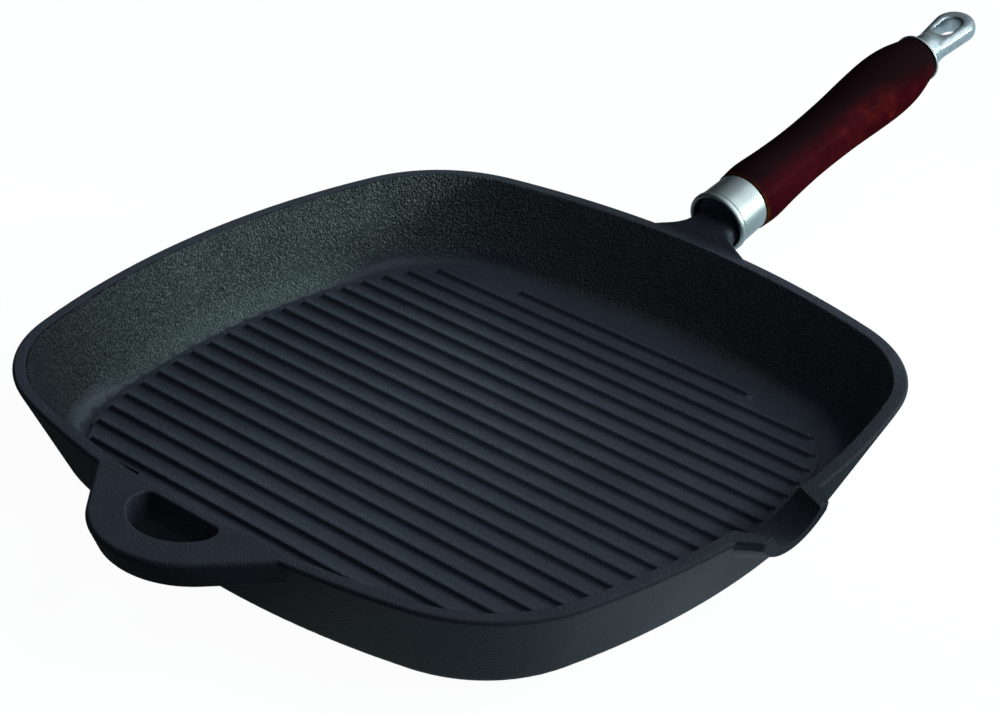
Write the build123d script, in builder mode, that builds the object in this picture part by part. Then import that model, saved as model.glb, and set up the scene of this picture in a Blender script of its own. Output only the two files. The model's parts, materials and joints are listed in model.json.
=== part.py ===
from build123d import *
import math
import os

os.makedirs("parts", exist_ok=True)

# Square cast grill pan with a pour spout, a helper loop and a screwed-on turned handle.
# Millimetres and degrees. The origin is the middle of the flat underside, Z points up,
# the handle runs along +Y, the helper loop sits at -Y and the pour spout at +X.

# Bowl of the pan. Every outline is a square with bowed sides and round corners.
rim_half = 140.6
side_bow_share = 2.38
corner_share = 0.408
rim_width = 6.1
rim_edge_round = 1.2
pan_height = 38.0
wall_lean = 17.6
base_edge_round = 7.5
floor_thickness = 5.6
foot_wall_width = 4.2
foot_round = 5.0
level_tolerance = 0.01

# Ribs on the floor: drafted bars with soft feet over a slightly raised bed.
rib_count = 22
rib_height = 3.0
rib_base_width = 4.4
rib_crest_width = 2.0
rib_crest_round_share = 0.4
rib_foot_round_share = 0.85
end_rib_margin = 18.7
rib_end_margin = 6.8
rib_corner_share = 0.4
end_rib_share = 0.62
bed_height = 1.0
bed_near_reach = 1.5
bed_far_reach = 9.0

# Helper loop, level with the rim.
loop_reach = 28.9
loop_nose_radius = 33.0
loop_nose_angle = 49.0
loop_flank_drop = 45.0
loop_root_round = 11.0
loop_thickness = 11.0
loop_edge_round = 1.6
eye_land = 2.8
eye_half_width = 17.6
eye_depth = 18.5
eye_side_share = 0.36
eye_corner_round = 3.6
eye_edge_round = 0.8

# Pour spout: a scooped lip that stands out of the rim, with a small ear at each side.
spout_offset = 1.1
spout_reach = 6.0
spout_root_depth = 12.0
spout_half_width = 17.8
spout_root_half_width = 31.0
spout_ear_depth = 3.4
spout_tip_depth = 12.0
spout_root_fall = 18.0
spout_face_angle = 8.5
spout_edge_round = 0.8
scoop_half_width = 11.9
scoop_root_half_width = 21.1
scoop_tip_depth = 7.0
scoop_root_depth = 11.6

# Cast neck that carries the handle: stations beyond the rim, half widths, lower and upper edge.
neck_stations = (-8.0, -1.0, 1.5, 5.0, 9.5, 14.0)
neck_half_widths = (30.0, 20.5, 14.5, 10.9, 9.7, 9.5)
neck_lows = (-17.0, -10.0, -7.5, -5.0, -3.4, -2.8)
neck_tops = (-0.6, 1.4, 3.4, 5.4, 7.2, 7.9)
neck_corner_round = 4.0

# Handle line: where it starts beyond the rim and above it, and its rise.
mouth_reach = 8.5
mouth_rise = 3.7
handle_rise = 12.44

# Tapped boss at the end of the neck, inside the ferrule.
boss_radius = 10.4
boss_recess = 3.0
boss_length = 9.3
thread_depth = 13.0

# Ferrule: open cup with a rolled mouth, pushed on the spigot of the wood.
ferrule_length = 17.3
ferrule_bore_radius = 11.2
ferrule_wall = 1.1
ferrule_swell = 0.35
bead_stand = 0.5
bead_length = 2.6
bead_round = 1.2
groove_width = 0.6
groove_depth = 0.35

# Turned wooden grip.
grip_length = 123.5
grip_shares = (0.0, 0.065, 0.18, 0.33, 0.52, 0.69, 0.8, 0.89, 1.0)
grip_radii = (12.8, 13.3, 12.35, 11.7, 12.2, 13.45, 13.9, 13.1, 10.2)
grip_edge = 0.7
bore_gap = 0.4

# Tie rod, end collar and hanging eye.
rod_radius = 3.0
rod_tip_gap = 1.2
rod_tip_chamfer = 0.8
rod_socket = 12.0
collar_radius = 10.7
collar_rim = 1.2
collar_thickness = 3.0
collar_nose_radius = 7.8
collar_edge = 0.35
seat_radius = 6.2
seat_length = 0.8
eye_neck_radius = 7.3
eye_neck_length = 4.2
eye_dome_length = 9.0
eye_dome_sweep = 90.0
ring_radius = 9.2
ring_centre = 26.2
ring_half_thickness = 4.1
ring_edge_round = 3.3
hole_length = 14.4
hole_width = 8.6
hole_centre = 21.2
hole_edge_round = 1.0

# Clearances and the amount by which cuts run past a face.
running_gap = 0.05
overrun = 3.0
half_turn = 180.0


def outline_sizes(height, inset):
    """Half width, bow radius and corner radius of the bowl's outline at a height, drawn in by an inset."""
    scale = 1 - wall_lean / rim_half * (1 - height / pan_height)
    half = rim_half * scale - inset
    bow = rim_half * side_bow_share * scale - inset
    corner = rim_half * corner_share * scale - inset
    return half, bow, corner


def corner_centre(half, bow, corner):
    """Place of the corner arc's centre on the diagonal, where it meets the side arcs smoothly."""
    middle = half - bow
    reach = bow - corner
    return (middle + math.sqrt(2 * reach ** 2 - middle ** 2)) / 2


def bowed_arcs(half, bow, corner):
    """Start, middle and end of the eight arcs of a bowed square, side and corner in turn."""
    middle = half - bow
    reach = bow - corner
    centre = corner_centre(half, bow, corner)
    join_x = middle + bow * (centre - middle) / reach
    join_y = bow * centre / reach
    diagonal = centre + corner / math.sqrt(2)
    side = ((join_x, -join_y), (half, 0), (join_x, join_y))
    turn = ((join_x, join_y), (diagonal, diagonal), (join_y, join_x))
    arcs = []
    for quarter in range(4):
        arcs.append(side)
        arcs.append(turn)
        side = tuple((-y, x) for x, y in side)
        turn = tuple((-y, x) for x, y in turn)
    return arcs


def half_width_at(place, half, bow, corner):
    """Half width of a bowed square at a distance from its middle."""
    middle = half - bow
    reach = bow - corner
    centre = corner_centre(half, bow, corner)
    if abs(place) <= bow * centre / reach:
        return middle + math.sqrt(bow ** 2 - place ** 2)
    rest = max(corner ** 2 - (abs(place) - centre) ** 2, 0)
    return centre + math.sqrt(rest)


def spout_plane(station, lean):
    """Upright plane across the spout at a distance beyond the rim, tipped outwards by the lean."""
    turn = math.radians(lean)
    return Plane(
        origin=(rim_half + station, -spout_offset, pan_height),
        x_dir=(0, 1, 0), z_dir=(math.cos(turn), 0, -math.sin(turn)),
    )


def corners_at(corners, reach, level):
    """The corners of a profile at a reach to either side of its middle and at a level."""
    return [
        corner for corner in corners
        if abs(abs(corner.X) - reach) < level_tolerance and abs(corner.Y - level) < level_tolerance
    ]


# Places along the handle line.
rise = math.radians(handle_rise)
mouth = Vector(0, rim_half + mouth_reach, pan_height + mouth_rise)
along = Vector(0, math.cos(rise), math.sin(rise))
handle_axis = Axis(mouth, along)
handle_side = Plane(origin=mouth, x_dir=along, z_dir=(1, 0, 0))
handle_flat = Plane(origin=mouth, x_dir=along, z_dir=(0, -math.sin(rise), math.cos(rise)))
boss_end = boss_recess + boss_length
grip_end = ferrule_length + grip_length
collar_end = grip_end + collar_thickness
hole_radius = rod_radius + running_gap

foot_half, foot_bow, foot_corner = outline_sizes(floor_thickness, foot_wall_width)

# Inside of the bowl: leaning walls with a round foot.
with BuildPart() as cavity:
    with BuildSketch(Plane.XY.offset(floor_thickness)):
        with BuildLine():
            for start, mid, end in bowed_arcs(foot_half, foot_bow, foot_corner):
                ThreePointArc(start, mid, end)
        make_face()
    with BuildSketch(Plane.XY.offset(pan_height)):
        with BuildLine():
            for start, mid, end in bowed_arcs(*outline_sizes(pan_height, rim_width)):
                ThreePointArc(start, mid, end)
        make_face()
    loft(ruled=True)
    fillet(cavity.edges().group_by(Axis.Z)[0], foot_round)

# Scooped channel of the spout, from inside the wall out past the lip.
scoop_stations = (
    (-spout_root_depth, scoop_root_half_width, scoop_root_depth),
    (spout_reach + overrun, scoop_half_width, scoop_tip_depth),
)
with BuildPart() as scoop:
    for station, width, depth in scoop_stations:
        with BuildSketch(spout_plane(station, 0)):
            with BuildLine():
                ThreePointArc((-width, 0), (0, -depth), (width, 0))
                Polyline((width, 0), (width, overrun), (-width, overrun), (-width, 0))
            make_face()
    loft(ruled=True)

# Outer body of the spout: hangs under the lip and runs back into the leaning wall.
spout_stations = (
    (-spout_root_depth, 0, spout_root_half_width, spout_root_fall),
    (spout_reach, spout_face_angle, spout_half_width, spout_tip_depth),
)
with BuildPart() as spout:
    for station, lean, width, depth in spout_stations:
        with BuildSketch(spout_plane(station, lean)):
            with BuildLine():
                ThreePointArc((-width, -spout_ear_depth), (0, -depth), (width, -spout_ear_depth))
                Polyline(
                    (width, -spout_ear_depth), (width, 0), (-width, 0), (-width, -spout_ear_depth)
                )
            make_face()
    loft(ruled=True)
    fillet(spout.faces().sort_by(Axis.X)[-1].edges(), spout_edge_round)

# Helper loop: round nose, straight flanks and hollow roots. Its edge leans as the wall does.
nose_turn = math.radians(loop_nose_angle)
nose_tip = -rim_half - loop_reach
nose_x = loop_nose_radius * math.sin(nose_turn)
nose_y = nose_tip + loop_nose_radius * (1 - math.cos(nose_turn))
flank_x = nose_x + loop_flank_drop * math.cos(nose_turn)
flank_y = nose_y + loop_flank_drop * math.sin(nose_turn)
loop_lean = loop_thickness * wall_lean / pan_height
with BuildPart() as loop:
    with BuildSketch(Plane.XY.offset(pan_height)):
        with BuildLine():
            for start, mid, end in bowed_arcs(*outline_sizes(pan_height, overrun)):
                ThreePointArc(start, mid, end)
        make_face()
        with BuildLine():
            ThreePointArc((-nose_x, nose_y), (0, nose_tip), (nose_x, nose_y))
            Polyline(
                (nose_x, nose_y), (flank_x, flank_y), (-flank_x, flank_y), (-nose_x, nose_y)
            )
        make_face()
    extrude(amount=math.hypot(loop_thickness, loop_lean), dir=(0, loop_lean, -loop_thickness))
    slanted = [
        edge for edge in loop.edges()
        if abs(edge.center().Z - pan_height + loop_thickness / 2) < level_tolerance
    ]
    roots = [
        edge for edge in slanted
        if abs(edge.center().X) < flank_x and nose_y + overrun < edge.center().Y < flank_y
    ]
    fillet(roots, loop_root_round)
    hem = [
        edge for edge in loop.edges()
        if abs(edge.center().X) < flank_x and edge.center().Y < nose_y + loop_nose_radius
        and edge.length > loop_thickness + loop_lean
    ]
    fillet(hem, loop_edge_round)

# Cast neck: a smooth arm that grows out of the rim and shrinks into the ferrule's mouth.
with BuildPart() as neck:
    for station, width, low, top in zip(neck_stations, neck_half_widths, neck_lows, neck_tops):
        middle_height = pan_height + (low + top) / 2
        with BuildSketch(
            Plane(origin=(0, rim_half + station, middle_height), x_dir=(1, 0, 0), z_dir=(0, 1, 0))
        ):
            RectangleRounded(2 * width, top - low, neck_corner_round)
    loft()

eye_top_y = rim_width - rim_half - eye_land
eye_side_y = eye_top_y - eye_side_share * eye_depth

# Ribs: round crests, drafted sides, soft feet level with the bed, half-round ends.
rib_draft_share = (rib_base_width - rib_crest_width) / 2 / rib_height
foot_edge = rib_base_width / 2 - rib_draft_share * bed_height
rib_foot_round = rib_foot_round_share * (rib_height - bed_height)
ledge_edge = foot_edge + rib_foot_round
rib_crest_edge = rib_crest_width / 2
rib_profile = (
    (ledge_edge, 0), (ledge_edge, bed_height), (foot_edge, bed_height), (rib_crest_edge, rib_height)
)
rib_mirrored = [(-reach, level) for reach, level in reversed(rib_profile)]
rib_rounds = (
    (rib_crest_edge, rib_height, rib_crest_round_share * rib_crest_width),
    (foot_edge, bed_height, rib_foot_round),
)
rib_line_half = foot_half - end_rib_margin
rib_pitch = 2 * rib_line_half / (rib_count - 1)
field_sizes = (foot_half - rib_end_margin, foot_bow - rib_end_margin, rib_corner_share * foot_half)
rib_places = [rib_pitch * number - rib_line_half for number in range(rib_count)]
rib_halves = [half_width_at(place, *field_sizes) for place in rib_places]
rib_halves[0] = rib_halves[1] * end_rib_share
rib_halves[-1] = rib_halves[-2] * end_rib_share
with BuildPart() as rib_field:
    for place, half in zip(rib_places, rib_halves):
        straight = half - rib_base_width / 2
        for side in (-1, 1):
            end = (side * straight, place, floor_thickness)
            end_plane = Plane(origin=end, x_dir=(0, side, 0), z_dir=(side, 0, 0))
            with BuildSketch(end_plane) as half_profile:
                with BuildLine():
                    Polyline((0, 0), *rib_profile, (0, rib_height), close=True)
                make_face()
                for reach, level, radius in rib_rounds:
                    fillet(corners_at(half_profile.vertices(), reach, level), radius)
            revolve(axis=Axis(end, (0, 0, -1)), revolution_arc=half_turn)
        with BuildSketch(end_plane) as whole_profile:
            with BuildLine():
                Polyline(*rib_profile, *rib_mirrored, close=True)
            make_face()
            for reach, level, radius in rib_rounds:
                fillet(corners_at(whole_profile.vertices(), reach, level), radius)
        extrude(amount=-2 * straight)

# The casting: bowl, ribs, loop, spout, neck and tapped boss in one piece.
with BuildPart() as pan_casting:
    with BuildSketch():
        with BuildLine():
            for start, mid, end in bowed_arcs(*outline_sizes(0, 0)):
                ThreePointArc(start, mid, end)
        make_face()
    with BuildSketch(Plane.XY.offset(pan_height)):
        with BuildLine():
            for start, mid, end in bowed_arcs(*outline_sizes(pan_height, 0)):
                ThreePointArc(start, mid, end)
        make_face()
    loft(ruled=True)
    fillet(pan_casting.edges().group_by(Axis.Z)[0], base_edge_round)
    fillet(pan_casting.edges().group_by(Axis.Z)[-1], rim_edge_round)
    add(loop.part)
    add(spout.part)
    add(neck.part)
    with BuildSketch(handle_side):
        with BuildLine():
            Polyline(
                (boss_recess, 0), (boss_recess, boss_radius),
                (boss_end, boss_radius), (boss_end, 0), close=True,
            )
        make_face()
    revolve(axis=handle_axis)
    add(cavity.part, mode=Mode.SUBTRACT)
    rim_inside = [
        edge for edge in pan_casting.edges().filter_by(GeomType.CIRCLE)
        if abs(edge.center().Z - pan_height) < level_tolerance
        and max(abs(edge.center().X), abs(edge.center().Y)) < rim_half - rim_width + level_tolerance
    ]
    fillet(rim_inside, rim_edge_round)
    add(scoop.part, mode=Mode.SUBTRACT)
    with BuildSketch(Plane.XY.offset(pan_height + overrun)):
        with BuildLine():
            Polyline(
                (-eye_half_width, eye_side_y), (-eye_half_width, eye_top_y),
                (eye_half_width, eye_top_y), (eye_half_width, eye_side_y),
            )
            ThreePointArc(
                (eye_half_width, eye_side_y), (0, eye_top_y - eye_depth),
                (-eye_half_width, eye_side_y),
            )
        eye_face = make_face()
        fillet(eye_face.vertices().group_by(Axis.Y)[-1], eye_corner_round)
    extrude(amount=-(loop_thickness + 2 * overrun), mode=Mode.SUBTRACT)
    eye_hem = [
        edge for edge in pan_casting.edges()
        if abs(edge.center().Z - pan_height) < level_tolerance
        and abs(edge.center().X) < eye_half_width + level_tolerance
        and eye_top_y - eye_depth - level_tolerance < edge.center().Y < eye_top_y + level_tolerance
    ]
    fillet(eye_hem, eye_edge_round)
    with BuildSketch(handle_side):
        with BuildLine():
            Polyline(
                (boss_end - thread_depth, 0), (boss_end - thread_depth, hole_radius),
                (boss_end, hole_radius), (boss_end, 0), close=True,
            )
        make_face()
    revolve(axis=handle_axis, mode=Mode.SUBTRACT)
    with BuildSketch(Plane.XY.offset(floor_thickness)):
        for number in range(rib_count - 1):
            near, far = rib_halves[number], rib_halves[number + 1]
            short = min(near, far)
            near_end = min(near, short + bed_far_reach - bed_near_reach) + bed_near_reach
            far_end = min(far, short + bed_far_reach - bed_near_reach) + bed_near_reach
            with BuildLine():
                Polyline(
                    (-near_end, rib_places[number]), (near_end, rib_places[number]),
                    (far_end, rib_places[number + 1]), (-far_end, rib_places[number + 1]),
                    close=True,
                )
            make_face()
    extrude(amount=bed_height)
    add(rib_field.part)

# Ferrule: thin cup with a rolled mouth and a fine groove behind the bead.
ferrule_radius = ferrule_bore_radius + ferrule_wall
mouth_radius = ferrule_radius + ferrule_swell
bead_radius = mouth_radius + bead_stand
groove_end = bead_length + groove_width
with BuildPart() as ferrule:
    with BuildSketch(handle_side):
        with BuildLine():
            ThreePointArc(
                (bead_round, ferrule_bore_radius), (0, (ferrule_bore_radius + bead_radius) / 2),
                (bead_round, bead_radius),
            )
            Polyline(
                (bead_round, bead_radius), (bead_length, bead_radius),
                (bead_length, mouth_radius - groove_depth), (groove_end, mouth_radius - groove_depth),
                (groove_end, mouth_radius), (ferrule_length, ferrule_radius),
                (ferrule_length, ferrule_bore_radius), (bead_round, ferrule_bore_radius),
            )
        make_face()
    revolve(axis=handle_axis)

# Grip: turned wood with a spigot for the ferrule and a bore for the rod.
bore_radius = rod_radius + bore_gap
spigot_radius = ferrule_bore_radius - running_gap
with BuildPart() as grip:
    with BuildSketch(handle_side):
        with BuildLine():
            Polyline(
                (boss_end, bore_radius), (boss_end, spigot_radius),
                (ferrule_length, spigot_radius), (ferrule_length, grip_radii[0] - grip_edge),
                (ferrule_length + grip_edge, grip_radii[0]),
            )
            Spline(
                [
                    (ferrule_length + grip_edge + share * (grip_length - 2 * grip_edge), radius)
                    for share, radius in zip(grip_shares, grip_radii)
                ]
            )
            Polyline(
                (grip_end - grip_edge, grip_radii[-1]), (grip_end, grip_radii[-1] - grip_edge),
                (grip_end, bore_radius), (boss_end, bore_radius),
            )
        make_face()
    revolve(axis=handle_axis)

# End collar: bright washer between the wood and the eye, with a rim and a hollow nose.
rim_end = grip_end + collar_rim
nose_hollow = ((rim_end + collar_end) / 2, collar_nose_radius + collar_edge)
with BuildPart() as end_collar:
    with BuildSketch(handle_side):
        with BuildLine():
            Polyline(
                (collar_end, collar_nose_radius), (collar_end, hole_radius), (grip_end, hole_radius),
                (grip_end, collar_radius - collar_edge), (grip_end + collar_edge, collar_radius),
                (rim_end - collar_edge, collar_radius), (rim_end, collar_radius - collar_edge),
            )
            ThreePointArc(
                (rim_end, collar_radius - collar_edge), nose_hollow, (collar_end, collar_nose_radius)
            )
        make_face()
    revolve(axis=handle_axis)

# Hanging eye: flattened teardrop ring on a round neck, bored for the rod.
socket_end = collar_end + rod_socket
neck_start = collar_end + seat_length
neck_end = neck_start + eye_neck_length
with BuildPart() as hanging_eye:
    with BuildSketch(handle_flat):
        with Locations((neck_start + eye_neck_radius, 0)):
            Circle(eye_neck_radius)
        with Locations((collar_end + ring_centre, 0)):
            Circle(ring_radius)
        make_hull()
    extrude(amount=ring_half_thickness, both=True)
    fillet(
        hanging_eye.edges().filter_by(
            Axis(handle_flat.origin, handle_flat.z_dir), reverse=True
        ),
        ring_edge_round,
    )
    with BuildSketch(handle_side):
        with BuildLine():
            Polyline(
                (neck_end, 0), (collar_end, 0), (collar_end, seat_radius),
                (neck_start, seat_radius), (neck_start, eye_neck_radius), (neck_end, eye_neck_radius),
            )
            EllipticalCenterArc(
                (neck_end, 0), eye_dome_length, eye_neck_radius,
                start_angle=0, arc_size=eye_dome_sweep,
            )
            Line((neck_end + eye_dome_length, 0), (neck_end, 0))
        make_face()
    revolve(axis=handle_axis)
    with BuildSketch(handle_flat.offset(-ring_half_thickness - overrun)):
        with Locations((collar_end + hole_centre, 0)):
            SlotOverall(hole_length, hole_width)
    extrude(amount=2 * (ring_half_thickness + overrun), mode=Mode.SUBTRACT)
    hole_rims = [
        edge for edge in hanging_eye.edges()
        if abs(handle_flat.to_local_coords(edge.center()).Y) < hole_width / 2 + level_tolerance
        and abs(
            handle_flat.to_local_coords(edge.center()).X - collar_end - hole_centre
        ) < hole_length / 2 + level_tolerance
        and abs(
            abs(handle_flat.to_local_coords(edge.center()).Z) - ring_half_thickness
        ) < level_tolerance
    ]
    fillet(hole_rims, hole_edge_round)
    with BuildSketch(handle_side):
        with BuildLine():
            Polyline(
                (collar_end, 0), (collar_end, rod_radius), (socket_end, rod_radius),
                (socket_end, 0), close=True,
            )
        make_face()
    revolve(axis=handle_axis, mode=Mode.SUBTRACT)

# Tie rod: screwed into the boss and fixed in the eye.
rod_start = boss_end - thread_depth + rod_tip_gap
with BuildPart() as tie_rod:
    with BuildSketch(handle_side):
        with BuildLine():
            Polyline(
                (rod_start, 0), (rod_start, rod_radius - rod_tip_chamfer),
                (rod_start + rod_tip_chamfer, rod_radius), (socket_end, rod_radius),
                (socket_end, 0), close=True,
            )
        make_face()
    revolve(axis=handle_axis)

# Labels and files.
for name, built in (
    ("pan_casting", pan_casting), ("ferrule", ferrule), ("grip", grip),
    ("end_collar", end_collar), ("hanging_eye", hanging_eye), ("tie_rod", tie_rod),
):
    built.part.label = name
    export_step(built.part, "parts/" + name + ".step")
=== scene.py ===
# %% [markdown]
# # A square cast-iron grill pan
#
# The pan is one heavy casting: a bowl with a ribbed floor, a pour spout, a helper loop and a
# short neck. A turned wooden grip stands on the neck, between a thin metal ferrule and a metal
# hanging eye that screws the whole handle tight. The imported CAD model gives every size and
# place. This file dresses it: each piece gets a clean mesh, rounded edges and a finish.

# %% Load the frame and keep its box
import json
import math

import bpy
from mathutils import Matrix, Vector

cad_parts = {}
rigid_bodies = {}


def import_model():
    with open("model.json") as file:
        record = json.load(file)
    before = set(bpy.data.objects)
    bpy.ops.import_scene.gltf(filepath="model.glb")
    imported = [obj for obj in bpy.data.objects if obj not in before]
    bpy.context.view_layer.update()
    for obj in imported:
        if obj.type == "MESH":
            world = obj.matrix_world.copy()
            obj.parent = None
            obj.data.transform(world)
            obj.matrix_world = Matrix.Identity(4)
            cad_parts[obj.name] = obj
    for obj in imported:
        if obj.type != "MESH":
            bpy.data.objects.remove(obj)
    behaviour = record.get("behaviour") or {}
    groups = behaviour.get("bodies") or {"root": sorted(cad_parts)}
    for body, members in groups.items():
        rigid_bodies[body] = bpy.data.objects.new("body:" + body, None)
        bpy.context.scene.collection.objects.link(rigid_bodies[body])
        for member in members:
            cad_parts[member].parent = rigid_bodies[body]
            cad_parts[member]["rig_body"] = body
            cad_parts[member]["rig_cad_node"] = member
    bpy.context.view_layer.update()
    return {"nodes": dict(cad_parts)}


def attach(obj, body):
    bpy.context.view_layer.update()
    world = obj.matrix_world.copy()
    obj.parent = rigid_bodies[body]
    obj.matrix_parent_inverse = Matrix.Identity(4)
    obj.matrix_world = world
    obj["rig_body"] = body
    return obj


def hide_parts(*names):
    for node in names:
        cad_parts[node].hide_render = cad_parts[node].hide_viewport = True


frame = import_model()

# %% [markdown]
# ## Small helpers
#
# Every tool in Blender acts on what is selected, and the CAD nodes arrive selected. So each
# step starts from an empty selection and then picks its own piece. Modifiers are applied at
# once, so that the mesh holds what shows.

# %% Selection and modifiers
MM = 0.001


def pick(piece):
    """Selects one object alone and makes it the active one."""
    if bpy.context.object and bpy.context.object.mode != "OBJECT":
        bpy.ops.object.mode_set(mode="OBJECT")
    bpy.ops.object.select_all(action="DESELECT")
    piece.select_set(True)
    bpy.context.view_layer.objects.active = piece


def finish_with(piece, kind, **settings):
    """Adds a modifier, sets it and applies it to the mesh."""
    pick(piece)
    modifier = piece.modifiers.new(kind.lower(), kind)
    for name, value in settings.items():
        setattr(modifier, name, value)
    bpy.ops.object.modifier_apply(modifier=modifier.name)


def smooth_faces(piece, sharp_degrees):
    """Smooth shading that breaks at real edges, weighted so that flat faces stay flat."""
    pick(piece)
    bpy.ops.object.shade_smooth_by_angle(angle=math.radians(sharp_degrees))
    finish_with(piece, "WEIGHTED_NORMAL", keep_sharp=True)


print("one CAD unit here is", MM, "m")

# %% [markdown]
# ## Starting from a CAD node
#
# The CAD nodes stay as they are, as the measured truth. A piece that keeps its CAD form starts
# as a copy of its node. The copy's triangles share no points, so the points are merged first:
# without that, neither smooth shading nor a remesh would see one closed skin.

# %% Copying and reporting
MERGE_DISTANCE = 0.002 * MM


def copy_node(node, name):
    """A copy of a CAD node whose loose triangles are merged, ready for rounding and shading."""
    bpy.ops.object.select_all(action="DESELECT")
    piece = frame["nodes"][node].copy()
    piece.data = piece.data.copy()
    piece.name = name
    piece.parent = None
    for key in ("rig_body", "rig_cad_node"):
        del piece[key]
    bpy.context.scene.collection.objects.link(piece)
    pick(piece)
    bpy.ops.mesh.customdata_custom_splitnormals_clear()
    bpy.ops.object.mode_set(mode="EDIT")
    bpy.ops.mesh.select_all(action="SELECT")
    bpy.ops.mesh.remove_doubles(threshold=MERGE_DISTANCE)
    bpy.ops.object.mode_set(mode="OBJECT")
    return piece


def report(piece):
    """Prints a piece's faces and its size in millimetres."""
    size = [round(value, 1) for value in piece.dimensions / MM]
    print(piece.name, len(piece.data.polygons), "faces,", size, "mm")


print("CAD nodes:", sorted(frame["nodes"]))

# %% [markdown]
# ## The handle's own line
#
# The handle leans up from the pan, so its pieces are easiest to make upright, as on a lathe,
# and then laid on the handle line. The same line turns the wood's grain and the fine turning
# marks in the materials.

# %% Handle line
HANDLE_START = Vector((0, 149.1, 41.7)) * MM
HANDLE_RISE = math.radians(12.44)
LATHE_TURN = (HANDLE_RISE - math.pi / 2, 0, 0)
LATHE_MERGE = 0.001 * MM
ROUND_SEGMENTS = 96


def lay_on_handle(piece):
    """Turns an upright piece on to the handle line and applies its place."""
    pick(piece)
    piece.rotation_euler = LATHE_TURN
    piece.location = HANDLE_START
    bpy.ops.object.transform_apply(location=True, rotation=True, scale=True)


def turn_on_lathe(name, profile):
    """A turned piece: one circle, extruded and scaled ring by ring along its outline."""
    bpy.ops.object.select_all(action="DESELECT")
    place, radius = profile[0]
    bpy.ops.mesh.primitive_circle_add(
        vertices=ROUND_SEGMENTS, radius=radius * MM, location=(0, 0, place * MM)
    )
    piece = bpy.context.object
    piece.name = name
    bpy.ops.object.transform_apply(location=True, rotation=True, scale=True)
    bpy.ops.object.mode_set(mode="EDIT")
    bpy.ops.mesh.select_all(action="SELECT")
    for next_place, next_radius in profile[1:]:
        step = (0, 0, (next_place - place) * MM)
        bpy.ops.mesh.extrude_edges_move(TRANSFORM_OT_translate={"value": step})
        ratio = next_radius / radius
        centre = (0, 0, next_place * MM)
        bpy.ops.transform.resize(value=(ratio, ratio, 1), center_override=centre)
        place, radius = next_place, next_radius
    bpy.ops.mesh.select_all(action="SELECT")
    bpy.ops.mesh.remove_doubles(threshold=LATHE_MERGE)
    bpy.ops.mesh.normals_make_consistent(inside=False)
    bpy.ops.object.mode_set(mode="OBJECT")
    lay_on_handle(piece)
    return piece


print("the handle rises", round(math.degrees(HANDLE_RISE), 2), "degrees")

# %% [markdown]
# ## Building materials
#
# A material is a small net of nodes. A few helpers keep the nets short: one adds a node and
# sets it, others join, blend and limit values. Most masks below are ramps: a number that
# climbs from one value to another as a place, in millimetres, goes from one line to the next.

# %% Node helpers
def add_node(tree, kind, **settings):
    """Adds a shader node. Settings named after a socket fill that socket, others set the node."""
    node = tree.nodes.new("ShaderNode" + kind)
    for name, value in settings.items():
        socket = node.inputs.get(name.replace("_", " "))
        if socket is not None:
            socket.default_value = value
        else:
            setattr(node, name, value)
    return node


def math_node(tree, operation, first, second):
    """A Math node on two inputs, each a socket or a number."""
    node = add_node(tree, "Math", operation=operation)
    for socket, value in zip(node.inputs, (first, second)):
        if isinstance(value, (int, float)):
            socket.default_value = value
        else:
            tree.links.new(value, socket)
    return node.outputs[0]


def in_turn(tree, operation, first, *others):
    """One value from several: the same Math operation, applied from left to right."""
    for value in others:
        first = math_node(tree, operation, first, value)
    return first


def product(tree, *values):
    """Masks multiplied together: the place where all of them hold."""
    return in_turn(tree, "MULTIPLY", *values)


def highest(tree, *values):
    """The highest of several masks: the place where any of them holds."""
    return in_turn(tree, "MAXIMUM", *values)


print("node helpers are ready")

# %% [markdown]
# ## Blends and ramps
#
# Tone on a real object seldom changes at a hard line. A ramp gives a mask a soft border of a
# stated width, and a blend uses that mask to go from one colour to the next.

# %% Blends and ramps
def blend_colours(tree, factor, first, second):
    """Mixes two colours, each a socket or an (r, g, b), by a socket from 0 to 1."""
    node = add_node(tree, "Mix", data_type="RGBA")
    tree.links.new(factor, node.inputs["Factor"])
    for socket, value in ((node.inputs[6], first), (node.inputs[7], second)):
        if isinstance(value, tuple):
            socket.default_value = (*value, 1)
        else:
            tree.links.new(value, socket)
    return node.outputs[2]


def between(tree, value, low, high, new_low, new_high):
    """Maps a socket from one range to another and stops at the ends."""
    node = add_node(tree, "MapRange")
    tree.links.new(value, node.inputs["Value"])
    limits = {"From Min": low, "From Max": high, "To Min": new_low, "To Max": new_high}
    for name, number in limits.items():
        node.inputs[name].default_value = number
    return node.outputs["Result"]


def ramp(tree, value, marks):
    """A ramp over a length. Its marks: from mm, to mm, value before, value after."""
    start, end, before, after = marks
    return between(tree, value, start * MM, end * MM, before, after)


print("a ramp has a soft border as wide as its two places are apart")

# %% [markdown]
# ## Finishes and shared groups
#
# An effect that several finishes use, such as sand grain, is a node group with named inputs:
# it is built once, and each finish places it with its own values. The shader itself stays in
# the material, with its plain values on its own sockets, where an export can read them.

# %% Finishes and groups
def start_group(name, inputs, outputs):
    """An empty node group with named sockets; every input is a number but Place, a vector."""
    tree = bpy.data.node_groups.new(name, "ShaderNodeTree")
    tree.interface.new_socket("Place", in_out="INPUT", socket_type="NodeSocketVector")
    for label, value in inputs.items():
        socket = tree.interface.new_socket(
            label, in_out="INPUT", socket_type="NodeSocketFloat"
        )
        socket.default_value = value
    for label in outputs:
        tree.interface.new_socket(label, in_out="OUTPUT", socket_type="NodeSocketFloat")
    return tree, tree.nodes.new("NodeGroupInput"), tree.nodes.new("NodeGroupOutput")


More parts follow.
